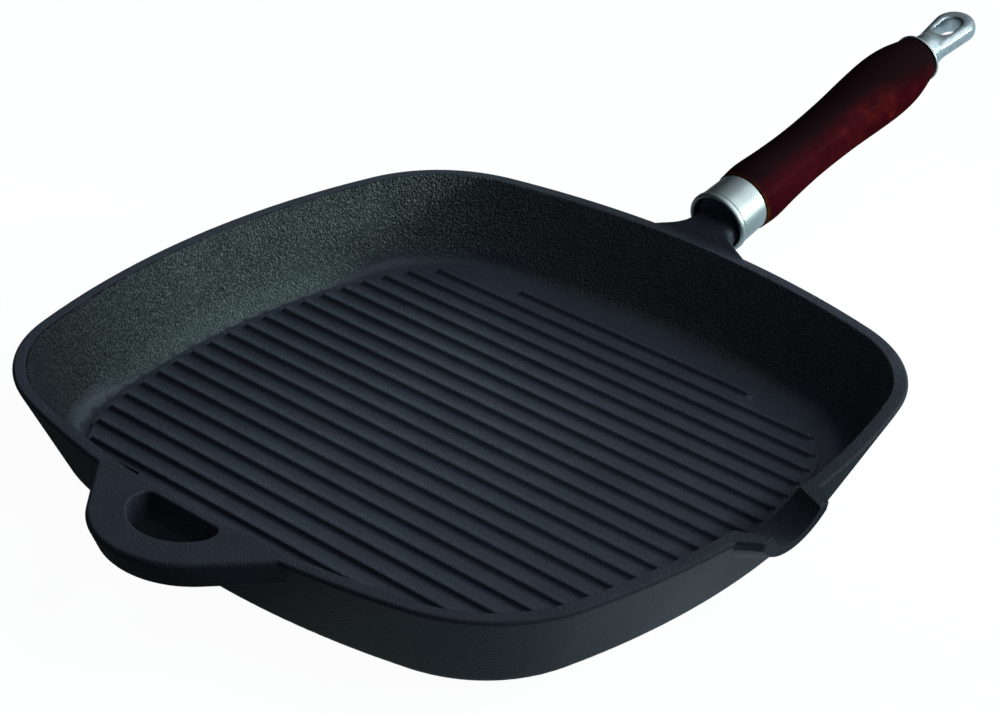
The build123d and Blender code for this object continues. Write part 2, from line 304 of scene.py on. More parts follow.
def place_group(tree, group, place, **values):
    """Puts a shared group in a material and gives it its coordinates and values."""
    node = tree.nodes.new("ShaderNodeGroup")
    node.node_tree = group
    tree.links.new(place, node.inputs["Place"])
    for name, value in values.items():
        node.inputs[name.replace("_", " ")].default_value = value
    return node


def new_finish(name, **constants):
    """A material with one Principled shader whose plain values are set on its own sockets."""
    finish = bpy.data.materials.new(name)
    finish.use_nodes = True
    shader = finish.node_tree.nodes["Principled BSDF"]
    for label, value in constants.items():
        shader.inputs[label.replace("_", " ")].default_value = value
    place = add_node(finish.node_tree, "TexCoord").outputs["Object"]
    return finish, finish.node_tree, shader, place


def along_handle(tree, place, stretch=(1, 1, 1)):
    """Coordinates turned to the handle line: Z runs along it from the ferrule's mouth."""
    centred = add_node(tree, "Mapping", vector_type="TEXTURE")
    centred.inputs["Location"].default_value = HANDLE_START
    centred.inputs["Rotation"].default_value = LATHE_TURN
    tree.links.new(place, centred.inputs["Vector"])
    stretched = add_node(tree, "Mapping", vector_type="POINT")
    stretched.inputs["Scale"].default_value = stretch
    tree.links.new(centred.outputs[0], stretched.inputs["Vector"])
    return stretched.outputs[0]


def raise_grain(tree, shader, height, distance_mm, strength):
    """A Bump node on the shader's normal, fed by one height."""
    bump = add_node(tree, "Bump", Distance=distance_mm * MM, Strength=strength)
    tree.links.new(height, bump.inputs["Height"])
    tree.links.new(bump.outputs[0], shader.inputs["Normal"])


print("helpers for groups and finishes are ready")

# %% [markdown]
# ## Sand grain
#
# A sand mould leaves a pebbled skin on cast metal: rounded lumps of about a millimetre with
# finer grit on them. Cells make the lumps and noise makes the grit. A second output marks
# painted glints: bright specks of colour that stand in for crests catching the light. They come
# from a coarser noise of their own, because specks as fine as the grit would be smaller than
# one pixel and not show at all.

# %% Sand grain
GRAIN_INPUTS = {"Lump Scale": 900, "Grit Share": 0.35, "Relief": 1}
GRIT_FINENESS = 2.3
GLINT_FINENESS = 0.9
GLINT_RANGE = (0.46, 0.70)

sand_grain, grain_in, grain_out = start_group("sand_grain", GRAIN_INPUTS, ["Height", "Glint"])
lumps = add_node(sand_grain, "TexVoronoi", feature="SMOOTH_F1", Smoothness=0.6)
grit = add_node(sand_grain, "TexNoise", Detail=3.0, Roughness=0.65)
glint_noise = add_node(sand_grain, "TexNoise", Detail=1.5, Roughness=0.6)
lump_scale = grain_in.outputs["Lump Scale"]
for texture in (lumps, grit, glint_noise):
    sand_grain.links.new(grain_in.outputs["Place"], texture.inputs["Vector"])
sand_grain.links.new(lump_scale, lumps.inputs["Scale"])
sand_grain.links.new(product(sand_grain, lump_scale, GRIT_FINENESS), grit.inputs["Scale"])
sand_grain.links.new(product(sand_grain, lump_scale, GLINT_FINENESS), glint_noise.inputs["Scale"])

rounded = math_node(sand_grain, "SUBTRACT", 1, lumps.outputs["Distance"])
gritty = product(sand_grain, grit.outputs["Fac"], grain_in.outputs["Grit Share"])
skin = math_node(sand_grain, "ADD", rounded, gritty)
height = product(sand_grain, skin, grain_in.outputs["Relief"])
# This mask only marks where painted glints go.
glint_mask = between(sand_grain, glint_noise.outputs["Fac"], *GLINT_RANGE, 0, 1)
sand_grain.links.new(height, grain_out.inputs["Height"])
sand_grain.links.new(glint_mask, grain_out.inputs["Glint"])
print("sand grain gives", [socket.name for socket in grain_out.inputs if socket.name])

# %% [markdown]
# ## Patches and turning marks
#
# *Patches* are the slow, cloudy change in tone that oil, lacquer and polishing leave on every
# surface, with a finer mottle in it. *Turning marks* are the hair-fine rings of a lathe. They
# could be cut into the mesh, but they are far finer than a pixel, so noise that is squeezed
# along the handle's line does it.

# %% Patches and turning marks
CLOUD_RANGE = (0.32, 0.68)
MARKS_PER_FINENESS = 30
ACROSS_MARKS = 0.4

patches, patch_in, patch_out = start_group("patches", {"Scale": 20}, ["Cloud", "Mottle"])
for label, ratio, detail in (("Cloud", 1, 2.0), ("Mottle", 6, 4.0)):
    cloud = add_node(patches, "TexNoise", Detail=detail, Roughness=0.55)
    cloud_scale = product(patches, patch_in.outputs["Scale"], ratio)
    cloud_tone = between(patches, cloud.outputs["Fac"], *CLOUD_RANGE, 0, 1)
    patches.links.new(patch_in.outputs["Place"], cloud.inputs["Vector"])
    patches.links.new(cloud_scale, cloud.inputs["Scale"])
    patches.links.new(cloud_tone, patch_out.inputs[label])

turning, turning_in, turning_out = start_group("turning_marks", {"Fineness": 4}, ["Rings"])
rings = add_node(turning, "TexNoise", Detail=3.0, Roughness=0.7, Scale=40)
squeezed = add_node(turning, "VectorMath", operation="MULTIPLY")
fineness = add_node(turning, "CombineXYZ", X=ACROSS_MARKS, Y=ACROSS_MARKS)
mark_count = product(turning, turning_in.outputs["Fineness"], MARKS_PER_FINENESS)
turning.links.new(mark_count, fineness.inputs["Z"])
turning.links.new(turning_in.outputs["Place"], squeezed.inputs[0])
turning.links.new(fineness.outputs[0], squeezed.inputs[1])
turning.links.new(squeezed.outputs[0], rings.inputs["Vector"])
turning.links.new(rings.outputs["Fac"], turning_out.inputs["Rings"])
print("shared effects:", [group.name for group in bpy.data.node_groups])

# %% [markdown]
# ## Seasoned cast iron: where on the casting
#
# The casting is nearly black and matt: oil baked on to a sand-cast skin. But it isn't one tone,
# and much of the change is painted light and shade: the cooking floor is painted lighter and
# bluish, the left wall is rough and takes a greenish painted sheen where the light rakes it, and
# the inner walls and the outside are painted darker as shade. A painted map could say where each
# tone goes. Masks made from the place on the pan do it here, so they sit at the CAD's own sizes.

# %% Iron: places
# Each ramp says: from mm, to mm, value before, value after.
INSIDE_RIM = (134.5, 137, 1, 0)
ABOVE_RIBS = (9, 13, 0, 1)
BESIDE_RIBS = (113, 117, 0, 1)
BESIDE_RIB_CORNERS = (196, 204, 0, 1)
TOWARDS_LEFT = (-60, -100, 0.3, 1)
TOWARDS_LOOP = (-15, -104, 0, 1)
# These two follow how far the surface faces towards or away from the pan's middle.
FACING_IN = (-0.02, -0.09, 0, 1)
FACING_OUT = (0.03, 0.1, 0, 0.7)

iron, tree, shader, place = new_finish("seasoned_iron", Specular_IOR_Level=0.14)
spot = add_node(tree, "SeparateXYZ")
tree.links.new(place, spot.inputs[0])
x_place, y_place, z_place = spot.outputs

outwards = add_node(tree, "VectorMath", operation="DOT_PRODUCT")
flat_place = add_node(tree, "VectorMath", operation="MULTIPLY")
flat_place.inputs[1].default_value = (1, 1, 0)
tree.links.new(place, flat_place.inputs[0])
tree.links.new(flat_place.outputs["Vector"], outwards.inputs[0])
tree.links.new(add_node(tree, "TexCoord").outputs["Normal"], outwards.inputs[1])

sides = [math_node(tree, "ABSOLUTE", axis, 0) for axis in (x_place, y_place)]
reach = math_node(tree, "MAXIMUM", *sides)
corner_reach = math_node(tree, "ADD", *sides)
beside_ribs = highest(
    tree, ramp(tree, reach, BESIDE_RIBS), ramp(tree, corner_reach, BESIDE_RIB_CORNERS)
)
wall_zone = highest(tree, ramp(tree, z_place, ABOVE_RIBS), beside_ribs)
faces_in = between(tree, outwards.outputs["Value"], *FACING_IN)
faces_out = between(tree, outwards.outputs["Value"], *FACING_OUT)
wall = product(tree, ramp(tree, reach, INSIDE_RIM), wall_zone, faces_in)
left_wall = product(tree, wall, ramp(tree, x_place, TOWARDS_LEFT))
near_corner = product(tree, wall, ramp(tree, y_place, TOWARDS_LOOP))
print("iron masks so far use", len(tree.nodes), "nodes")

# %% [markdown]
# ## Seasoned cast iron: walls
#
# The wall's foot on the left is painted lighter than the rest: a painted highlight. The other
# walls are blended towards a dark tone, painted shade that keeps them deep although light
# reaches them, and the left wall takes a greenish painted sheen. The rim beside the spout is
# painted darker as shade too. Each tone has two ends, and the mottle moves between them.

# %% Iron: walls
# The dark tone below serves only as painted shade, the greenish tones as painted sheen and the
# light foot colour as a painted highlight.
PAINTED_SHADE_IRON = (0.016, 0.021, 0.029)
IRON_TONES = ((0.055, 0.064, 0.090), (0.068, 0.079, 0.110))
PAINTED_SHEEN_TONES = ((0.043, 0.056, 0.062), (0.066, 0.083, 0.085))
PAINTED_FOOT_HIGHLIGHT = (0.115, 0.150, 0.160)
WALL_SHADE_SHARE = 0.35
HIGHLIGHT_FOOT = (17, 10, 0, 0.6)
HIGHLIGHT_ENDS = (-66, -98, 1, 0.05)
RIM_BY_SPOUT = (112, 124, 0, 0.65)
SPOUT_SIDE = (-60, 0, 0, 1)

tone = place_group(tree, patches, place, Scale=14)
base = blend_colours(tree, tone.outputs["Mottle"], *IRON_TONES)
sheen_tinted = blend_colours(tree, tone.outputs["Mottle"], *PAINTED_SHEEN_TONES)
# Painted shade: all inner walls are blended part way to the dark tone.
base = blend_colours(tree, product(tree, wall, WALL_SHADE_SHARE), base, PAINTED_SHADE_IRON)
# Painted sheen: the left wall is tinted greenish where the light rakes it.
base = blend_colours(tree, left_wall, base, sheen_tinted)
# Painted highlight: the left wall's foot is lightened.
foot_highlight = product(
    tree, left_wall, ramp(tree, z_place, HIGHLIGHT_FOOT), ramp(tree, y_place, HIGHLIGHT_ENDS)
)
base = blend_colours(tree, foot_highlight, base, PAINTED_FOOT_HIGHLIGHT)
# Painted shade: the rim beside the spout is darkened.
rim_shade = product(
    tree, ramp(tree, x_place, RIM_BY_SPOUT), ramp(tree, y_place, SPOUT_SIDE)
)
base = blend_colours(tree, rim_shade, base, PAINTED_SHADE_IRON)
# The lighter foot is a painted highlight.
print("the left wall is rubbed lighter below", HIGHLIGHT_FOOT[0], "mm")

# %% [markdown]
# ## Seasoned cast iron: cooking floor and outside
#
# The middle of the floor is painted a lighter blue-grey: painted light and reflection on the
# iron's own dark tone. Towards its edges it is painted darker as shade, more on the loop and
# spout sides and less on the far sides, so four ramps darken the margin and the highest one
# counts. The wall corner towards the loop and every surface that faces outwards are painted
# darker as shade too.

# %% Iron: floor and outside
# The floor tones hold painted light and reflection: lighter and bluer than the walls.
COOKING_TONES = ((0.080, 0.094, 0.134), (0.098, 0.115, 0.160))
MARGIN_BY_LOOP = (-103, -109, 0, 0.85)
MARGIN_BY_SPOUT = (100, 111, 0, 0.8)
MARGIN_LEFT = (-30, -100, 0, 0.42)
MARGIN_BY_HANDLE = (30, 105, 0, 0.3)

cooking = blend_colours(tree, tone.outputs["Mottle"], *COOKING_TONES)
# Painted shade: the floor's margin darkens towards the walls.
margin = highest(
    tree, ramp(tree, y_place, MARGIN_BY_LOOP), ramp(tree, x_place, MARGIN_BY_SPOUT),
    ramp(tree, x_place, MARGIN_LEFT), ramp(tree, y_place, MARGIN_BY_HANDLE),
)
cooking = blend_colours(tree, margin, cooking, PAINTED_SHADE_IRON)
base = blend_colours(tree, wall_zone, cooking, base)
# Painted shade: the wall corner towards the loop and surfaces that face outwards are darkened.
base = blend_colours(tree, near_corner, base, PAINTED_SHADE_IRON)
base = blend_colours(tree, faces_out, base, PAINTED_SHADE_IRON)
print("the floor's margin is darkened from", MARGIN_BY_SPOUT[0], "mm on the spout side")

# %% [markdown]
# ## Seasoned cast iron: grain
#
# The grain is nearly flat on the floor and stands out on the left wall, and there its crests
# carry painted glints: bright specks of colour that stand in for light caught on them. One
# relief value, driven by the left wall's mask, does the relief, and the same mask places the
# glints.

# %% Iron: grain
IRON_LUMPS = 1250
RELIEF_RANGE = (0.18, 1.5)
IRON_ROUGHNESS = (0.40, 0.48)
IRON_GRAIN_MM = 1.1
# The crest colour is a painted glint.
PAINTED_GLINT_COLOUR = (0.205, 0.260, 0.270)
GLINT_SHARE_RANGE = (0.04, 0.9)
CORNER_DIMS_GLINTS = 0.8

grain = place_group(tree, sand_grain, place, Lump_Scale=IRON_LUMPS)
tree.links.new(between(tree, left_wall, 0, 1, *RELIEF_RANGE), grain.inputs["Relief"])
# Painted glints: bright specks on the left wall's lit skin, dimmed near the corner towards the
# loop.
glints_dimmed = product(tree, near_corner, CORNER_DIMS_GLINTS)
lit_skin = math_node(tree, "SUBTRACT", left_wall, glints_dimmed)
painted_glint = product(tree, grain.outputs["Glint"], between(tree, lit_skin, 0, 1, *GLINT_SHARE_RANGE))
iron_colour = blend_colours(tree, painted_glint, base, PAINTED_GLINT_COLOUR)
iron_roughness = between(tree, tone.outputs["Cloud"], 0, 1, *IRON_ROUGHNESS)
tree.links.new(iron_colour, shader.inputs["Base Color"])
tree.links.new(iron_roughness, shader.inputs["Roughness"])
raise_grain(tree, shader, grain.outputs["Height"], IRON_GRAIN_MM, 1.0)
print("iron uses", len(tree.nodes), "nodes")

# %% [markdown]
# ## Satin metal for the ferrule, collar and eye
#
# These small fittings are light metal with a satin skin. The ferrule and collar carry faint
# turning rings; the cast eye has a soft, slightly uneven skin instead. The rod is plain drawn
# steel. All three are the same recipe, a metal whose tone and roughness drift, so a helper
# joins the colours and the roughness and only the bump differs.

# %% Satin metal
def drift(tree, shader, tone, colours, colour_by, roughness, roughness_by):
    """Lets a metal's colour and roughness wander between two ends each."""
    colour = blend_colours(tree, tone.outputs[colour_by], *colours)
    tree.links.new(colour, shader.inputs["Base Color"])
    rough = between(tree, tone.outputs[roughness_by], 0, 1, *roughness)
    tree.links.new(rough, shader.inputs["Roughness"])


TURNED_TONES = ((0.33, 0.365, 0.375), (0.42, 0.46, 0.465))
CAST_TONES = ((0.30, 0.345, 0.375), (0.42, 0.47, 0.495))
ROD_TONES = ((0.36, 0.36, 0.36), (0.46, 0.46, 0.45))

turned_metal, tree, shader, place = new_finish("satin_turned_metal", Metallic=1.0)
marks = place_group(tree, turning, along_handle(tree, place))
tone = place_group(tree, patches, place, Scale=60)
drift(tree, shader, tone, TURNED_TONES, "Cloud", (0.36, 0.44), "Mottle")
raise_grain(tree, shader, marks.outputs["Rings"], 0.02, 0.5)

cast_metal, tree, shader, place = new_finish("satin_cast_metal", Metallic=1.0)
grain = place_group(tree, sand_grain, place, Lump_Scale=700, Grit_Share=0.2)
tone = place_group(tree, patches, place, Scale=90)
drift(tree, shader, tone, CAST_TONES, "Mottle", (0.30, 0.38), "Cloud")
raise_grain(tree, shader, grain.outputs["Height"], 0.01, 0.3)

rod_steel, tree, shader, place = new_finish("drawn_rod_steel", Metallic=1.0)
marks = place_group(tree, turning, along_handle(tree, place), Fineness=9)
tone = place_group(tree, patches, place, Scale=80)
drift(tree, shader, tone, ROD_TONES, "Mottle", (0.34, 0.46), "Cloud")
raise_grain(tree, shader, marks.outputs["Rings"], 0.03, 0.5)
print("metals:", [finish.name for finish in (turned_metal, cast_metal, rod_steel)])

# %% [markdown]
# ## Red lacquered wood: the lacquer
#
# The grip is dark wood under a mahogany-red lacquer. The red is uneven: long streaks follow
# the grain, a fine dark speckle lies in it, and towards the middle of the grip thin patches of
# lacquer glow. A picture of wood would stretch over the turned form. Noise that is read in
# coordinates along the handle runs with the grain at every ring.

# %% Wood: lacquer
LACQUER_TONES = ((0.068, 0.0048, 0.0115), (0.110, 0.0070, 0.0168))
STREAK_COLOUR = (0.060, 0.0075, 0.0110)
SPECKLE_COLOUR = (0.030, 0.0030, 0.0072)
GLOW_COLOUR = (0.225, 0.019, 0.014)
STREAK_LENGTHWISE = (1, 1, 0.05)
STREAK_RANGE = (0.35, 0.65)
STREAK_SHARE = 0.45
SPECKLE_SHARE = 0.75
THIN_LACQUER = (45, 85, 0.1, 0.8)

wood, tree, shader, place = new_finish(
    "red_lacquered_wood", Coat_Roughness=0.32, Coat_IOR=1.4, Specular_IOR_Level=0.0
)
streaks = add_node(tree, "TexNoise", Scale=420, Detail=4.0, Roughness=0.6)
tree.links.new(along_handle(tree, place, STREAK_LENGTHWISE), streaks.inputs["Vector"])
tone = place_group(tree, patches, place, Scale=45)
speckle = place_group(tree, patches, place, Scale=210)
split = add_node(tree, "SeparateXYZ")
tree.links.new(along_handle(tree, place), split.inputs[0])
side, back, along = split.outputs

grain_shade = between(tree, streaks.outputs["Fac"], *STREAK_RANGE, 0, 1)
streak_mask = product(tree, grain_shade, STREAK_SHARE)
speckle_mask = product(tree, speckle.outputs["Mottle"], SPECKLE_SHARE)
thin_lacquer = ramp(tree, along, THIN_LACQUER)
glow_patch = product(tree, speckle.outputs["Cloud"], tone.outputs["Cloud"], thin_lacquer)
red = blend_colours(tree, tone.outputs["Cloud"], *LACQUER_TONES)
red = blend_colours(tree, streak_mask, red, STREAK_COLOUR)
red = blend_colours(tree, speckle_mask, red, SPECKLE_COLOUR)
red = blend_colours(tree, glow_patch, red, GLOW_COLOUR)
print("the lacquer thins from", THIN_LACQUER[0], "to", THIN_LACQUER[1], "mm along the handle")

# %% [markdown]
# ## Red lacquered wood: painted shade and bare edge
#
# The top of the grip is painted nearly black, as painted shade on its top and upper side, and
# its side is red. The painted shade ends at a slanting, uneven line, drops lower towards the
# eye, and leaves the far underside red. At the ferrule the lacquer stops short and a ring of
# bare golden wood shows, with a streaky border; the painted shade darkens it too. Ramps along
# and across the handle place both, so no seam can show.

# %% Wood: painted shade and bare edge
# The first colour and the slant, drop, edge and unevenness below place painted shade on the
# grip's top; the second colour is the gold under that shade.
PAINTED_SHADE_WOOD = (0.021, 0.0085, 0.0125)
SHADED_GOLD = (0.021, 0.0085, 0.0105)
GOLDEN_TONES = ((0.115, 0.036, 0.008), (0.035, 0.009, 0.004))
SHADE_SLANT = (0.75, 0.65)
SHADE_DROP = (98, 142, 0, 9 * MM)
SHADE_EDGE = (-3.0, 5.0, 1, 0)
SHADE_UNEVEN_MM = 1.5
RED_SIDE_SLANT = (0.64, 0.77)
RED_SIDE = (-8, -1, 0.3, 1)
BARE_EDGE = (19.5, 20.6, 1, 0)
BARE_UNEVEN_MM = 3.0
GOLD_SHADE_SHARE = 0.6

# Painted shade: the grip's top and upper side darken to near black.
slanted = [product(tree, axis, share) for axis, share in zip((side, back), SHADE_SLANT)]
lower = math_node(tree, "ADD", *slanted)
lower = math_node(tree, "SUBTRACT", lower, ramp(tree, along, SHADE_DROP))
wobble = product(tree, tone.outputs["Mottle"], SHADE_UNEVEN_MM * MM)
top_shade = ramp(tree, math_node(tree, "ADD", lower, wobble), SHADE_EDGE)
slanted = [product(tree, axis, share) for axis, share in zip((side, back), RED_SIDE_SLANT)]
upper = math_node(tree, "SUBTRACT", *slanted)
top_shade = product(tree, top_shade, ramp(tree, upper, RED_SIDE))
red = blend_colours(tree, top_shade, red, PAINTED_SHADE_WOOD)

fringe = product(tree, streaks.outputs["Fac"], BARE_UNEVEN_MM * MM)
bare = ramp(tree, math_node(tree, "ADD", along, fringe), BARE_EDGE)
golden = blend_colours(tree, grain_shade, *GOLDEN_TONES)
# The painted shade darkens the golden ring as well.
golden = blend_colours(tree, product(tree, top_shade, GOLD_SHADE_SHARE), golden, SHADED_GOLD)
wood_colour = blend_colours(tree, bare, red, golden)
tree.links.new(wood_colour, shader.inputs["Base Color"])
tree.links.new(between(tree, bare, 0, 1, 0.5, 0.65), shader.inputs["Roughness"])
tree.links.new(between(tree, bare, 0, 1, 0.007, 0.0), shader.inputs["Coat Weight"])
raise_grain(tree, shader, streaks.outputs["Fac"], 0.06, 0.35)
print("wood uses", len(tree.nodes), "nodes")

# %% [markdown]
# ## The casting: a copy to work on
#
# On the real pan, bowl, ribs, loop, spout and neck are one pour of iron, so here they are one
# mesh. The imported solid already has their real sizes, and drawing them again could only lose
# some. But its ribbed bed lies a little too near the handle for the photograph's rib lines.
# The bed joins the floor only along its flat surroundings, so those faces come out first.

# %% Casting: take out the flat floor
FLOOR_LEVEL = 5.6
LEVEL_TOLERANCE = 0.01
UPRIGHT = 0.99


def flat_floor(mesh, face):
    """True for the faces of the flat floor round the raised, ribbed bed."""
    levels = [mesh.vertices[index].co.z / MM for index in face.vertices]
    off_level = max(abs(level - FLOOR_LEVEL) for level in levels)
    return face.normal.z > UPRIGHT and off_level < LEVEL_TOLERANCE


casting = copy_node("pan_casting", "grill_pan_body")
bpy.ops.object.mode_set(mode="EDIT")
bpy.ops.mesh.select_mode(type="FACE")
bpy.ops.mesh.select_all(action="DESELECT")
bpy.ops.object.mode_set(mode="OBJECT")
for face in casting.data.polygons:
    face.select = flat_floor(casting.data, face)
print("faces of the flat floor:", sum(face.select for face in casting.data.polygons))
bpy.ops.object.mode_set(mode="EDIT")
bpy.ops.mesh.delete(type="FACE")
bpy.ops.mesh.select_mode(type="VERT")
bpy.ops.mesh.select_all(action="DESELECT")
bpy.ops.object.mode_set(mode="OBJECT")

# %% [markdown]
# ## The casting: move the ribbed bed
#
# With the flat floor gone the bed is an island. One of its points, the one nearest the middle,
# is selected, and Blender's *select linked* takes all that hangs together with it. The island
# then slides along the handle's direction, and every rib keeps its form.

# %% Casting: move the bed
RIB_SHIFT = -2.8
RIB_LEVELS = (FLOOR_LEVEL, 9)

low, high = (level * MM for level in RIB_LEVELS)
on_ribs = [vertex for vertex in casting.data.vertices if low < vertex.co.z < high]
min(on_ribs, key=lambda vertex: vertex.co.xy.length).select = True
bpy.ops.object.mode_set(mode="EDIT")
bpy.ops.mesh.select_linked()
bpy.ops.transform.translate(value=(0, RIB_SHIFT * MM, 0))
bpy.ops.object.mode_set(mode="OBJECT")
print("points of the ribbed bed:", sum(vertex.select for vertex in casting.data.vertices))

# %% [markdown]
# ## The casting: close the floor again
#
# Two open borders are left, one round the bed and one at the foot of the walls. Filling
# between them gives back the flat floor. A casting has no holes in its skin, so the open
# edges are counted afterwards: there must be none.

# %% Casting: close the floor
bpy.ops.object.mode_set(mode="EDIT")
bpy.ops.mesh.select_all(action="DESELECT")
bpy.ops.mesh.select_non_manifold(
    extend=False, use_wire=False, use_boundary=True, use_multi_face=False,
    use_non_contiguous=False, use_verts=False,
)
bpy.ops.mesh.fill()
bpy.ops.mesh.select_all(action="SELECT")
bpy.ops.mesh.normals_make_consistent(inside=False)
bpy.ops.mesh.select_all(action="DESELECT")
bpy.ops.mesh.select_non_manifold()
bpy.ops.object.mode_set(mode="OBJECT")
print("open edges left in the casting:", sum(edge.select for edge in casting.data.edges))

# %% [markdown]
# ## The casting: shade and hand over
#
# Smooth shading hides the facets of the long curves, and stops at edges sharper than the
# stated angle, so the rim and the ribs keep their crisp lines.

# %% Casting: shade
CASTING_SHARP = 32

casting.data.materials.clear()
casting.data.materials.append(iron)
smooth_faces(casting, CASTING_SHARP)
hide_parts("pan_casting")
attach(casting, "pan")
report(casting)

# %% [markdown]
# ## Ferrule
#
# The ferrule is a thin metal cup, spun or turned, with a rolled mouth and a groove behind it.
# It could be a cylinder with edges bevelled afterwards, but its roll and groove are the very
# things that show. So one circle is drawn out ring by ring along the outline: place along the
# handle first, then radius, both in millimetres.

# %% Ferrule
TURNED_SHARP = 40
FERRULE_LENGTH = 17.3
BORE = 11.2
FERRULE_OUTLINE = [
    (1.2, BORE), (0.55, 11.32), (0.12, 11.75), (0.0, 12.15), (0.12, 12.6), (0.55, 13.0),
    (1.2, 13.15), (2.35, 13.15), (2.6, 12.95), (2.68, 12.35), (3.1, 12.28), (3.2, 12.55),
    (3.4, 12.65), (10.0, 12.47), (FERRULE_LENGTH - 0.2, 12.3), (FERRULE_LENGTH, 12.1),
    (FERRULE_LENGTH, BORE), (1.2, BORE),
]
ferrule = turn_on_lathe("ferrule_cup", FERRULE_OUTLINE)
ferrule.data.materials.append(turned_metal)
smooth_faces(ferrule, TURNED_SHARP)
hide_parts("ferrule")
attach(ferrule, "pan")
report(ferrule)

# %% [markdown]
# ## Grip: its curve
#
# The wood swells behind the ferrule, narrows to a waist for the fingers, and swells again
# before it tapers to the collar. Nine radii were measured on the photograph. Straight lines
# between them would show as cones, so a smooth curve runs through them, as a turner's does.

# %% Grip: its curve
GRIP_LENGTH = 123.5
GRIP_SHARES = (0.0, 0.065, 0.18, 0.33, 0.52, 0.69, 0.8, 0.89, 1.0)
GRIP_RADII = (12.8, 13.3, 12.35, 11.7, 12.2, 13.45, 13.9, 13.1, 10.2)
GRIP_END = FERRULE_LENGTH + GRIP_LENGTH


def radius_at(share):
    """Grip radius at a share of its length: a smooth curve through the measured radii."""
    last = len(GRIP_SHARES) - 1
    spot = max(index for index in range(last) if GRIP_SHARES[index] <= share)

    def slope(index):
        before, after = max(index - 1, 0), min(index + 1, last)
        rise = GRIP_RADII[after] - GRIP_RADII[before]
        return rise / (GRIP_SHARES[after] - GRIP_SHARES[before])

    span = GRIP_SHARES[spot + 1] - GRIP_SHARES[spot]
    t = (share - GRIP_SHARES[spot]) / span
    start, end = GRIP_RADII[spot], GRIP_RADII[spot + 1]
    return (
        (2 * t**3 - 3 * t**2 + 1) * start + (t**3 - 2 * t**2 + t) * span * slope(spot)
        + (3 * t**2 - 2 * t**3) * end + (t**3 - t**2) * span * slope(spot + 1)
    )


print("waist and swell:", round(radius_at(0.33), 2), "and", round(radius_at(0.8), 2), "mm")

# %% [markdown]
# ## Grip: turned from its outline
#
# The outline starts in the bore, comes out over the spigot that fills the ferrule, follows the
# curve, and goes back down the bore. Small steps at both ends break the hard corners, which
# gives the thin bright line that real edges catch.

# %% Grip: turned
BOSS_END = 12.3
ROD_BORE = 3.4
FIT_GAP = 0.05
GRIP_EDGE = 0.7
GRIP_CORNER = 0.2
GRIP_RINGS = 60

first_radius, last_radius = GRIP_RADII[0], GRIP_RADII[-1]
grip_outline = [
    (BOSS_END, ROD_BORE), (BOSS_END, BORE - FIT_GAP), (FERRULE_LENGTH, BORE - FIT_GAP),
    (FERRULE_LENGTH, first_radius - GRIP_EDGE),
    (FERRULE_LENGTH + GRIP_CORNER, first_radius - GRIP_CORNER),
]
for ring in range(GRIP_RINGS + 1):
    share = ring / GRIP_RINGS
    ring_place = FERRULE_LENGTH + GRIP_EDGE + share * (GRIP_LENGTH - 2 * GRIP_EDGE)
    grip_outline.append((ring_place, radius_at(share)))
grip_outline += [
    (GRIP_END - GRIP_CORNER, last_radius - GRIP_CORNER), (GRIP_END, last_radius - GRIP_EDGE),
    (GRIP_END, ROD_BORE), (BOSS_END, ROD_BORE),
]
grip = turn_on_lathe("wooden_grip", grip_outline)
grip.data.materials.append(wood)
smooth_faces(grip, TURNED_SHARP)
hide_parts("grip")
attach(grip, "pan")
report(grip)

# %% [markdown]
# ## End collar
#
# The collar is a stepped washer: a flat flange against the wood and a small cone that leads to
# the eye. It is turned in the same way. The eye presses on it, so both ride out together when
# the eye is unscrewed.

# %% End collar
COLLAR_END = GRIP_END + 3.0
ROD_RADIUS = 3.0
COLLAR_BORE = ROD_RADIUS + FIT_GAP
COLLAR_OUTLINE = [
    (GRIP_END, COLLAR_BORE), (GRIP_END, 10.35), (GRIP_END + 0.1, 10.6),
    (GRIP_END + 0.35, 10.7), (GRIP_END + 0.85, 10.7), (GRIP_END + 1.1, 10.6),
    (GRIP_END + 1.2, 10.35), (GRIP_END + 1.4, 9.3), (GRIP_END + 1.8, 8.4),
    (GRIP_END + 2.4, 7.95), (COLLAR_END, 7.8), (COLLAR_END, COLLAR_BORE),
    (GRIP_END, COLLAR_BORE),
]
collar = turn_on_lathe("end_collar_ring", COLLAR_OUTLINE)
collar.data.materials.append(turned_metal)
smooth_faces(collar, TURNED_SHARP)
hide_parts("end_collar")
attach(collar, "collar")
report(collar)

# %% [markdown]
# ## The hanging eye
#
# The eye is a small casting, and its neck flows into the ring with no edge between them. Edges
# could be bevelled one by one, but they meet at odd angles. A fine voxel remesh of the CAD
# solid, with many rounds of smoothing, melts the joint as a foundry's pattern does. One round
# of subdivision then takes the last facets away, still under 200,000 triangles.

# %% Hanging eye
VOXEL = 0.35 * MM
SMOOTH_ROUNDS = 32

eye = copy_node("hanging_eye", "cast_hanging_eye")
finish_with(eye, "REMESH", mode="VOXEL", voxel_size=VOXEL)
finish_with(eye, "SMOOTH", factor=0.5, iterations=SMOOTH_ROUNDS)
finish_with(eye, "SUBSURF", levels=1, render_levels=1)
eye.data.materials.clear()
eye.data.materials.append(cast_metal)
pick(eye)
bpy.ops.object.shade_smooth()
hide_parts("hanging_eye")
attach(eye, "eye_bolt")
report(eye)

# %% [markdown]
# ## The tie rod
#
# A plain steel rod runs from the eye through the wood into the boss. It only shows when the
# eye is unscrewed, and a plain rod needs no better mesh than its CAD one, only its steel.

# %% Tie rod
rod = frame["nodes"]["tie_rod"]
rod.data.materials.clear()
rod.data.materials.append(rod_steel)
print("tie rod keeps its CAD mesh,", len(rod.data.polygons), "faces")

# %% [markdown]
# ## Surroundings
#
# The pan is shown on white, as in a catalogue. White all round would light it flat, so the
# world is white only for rays from the camera and for reflections, and dim for the rays that
# light the object. In reflections it is brighter, and a little bluer, towards the right and
# back, where the light of the photograph comes from.

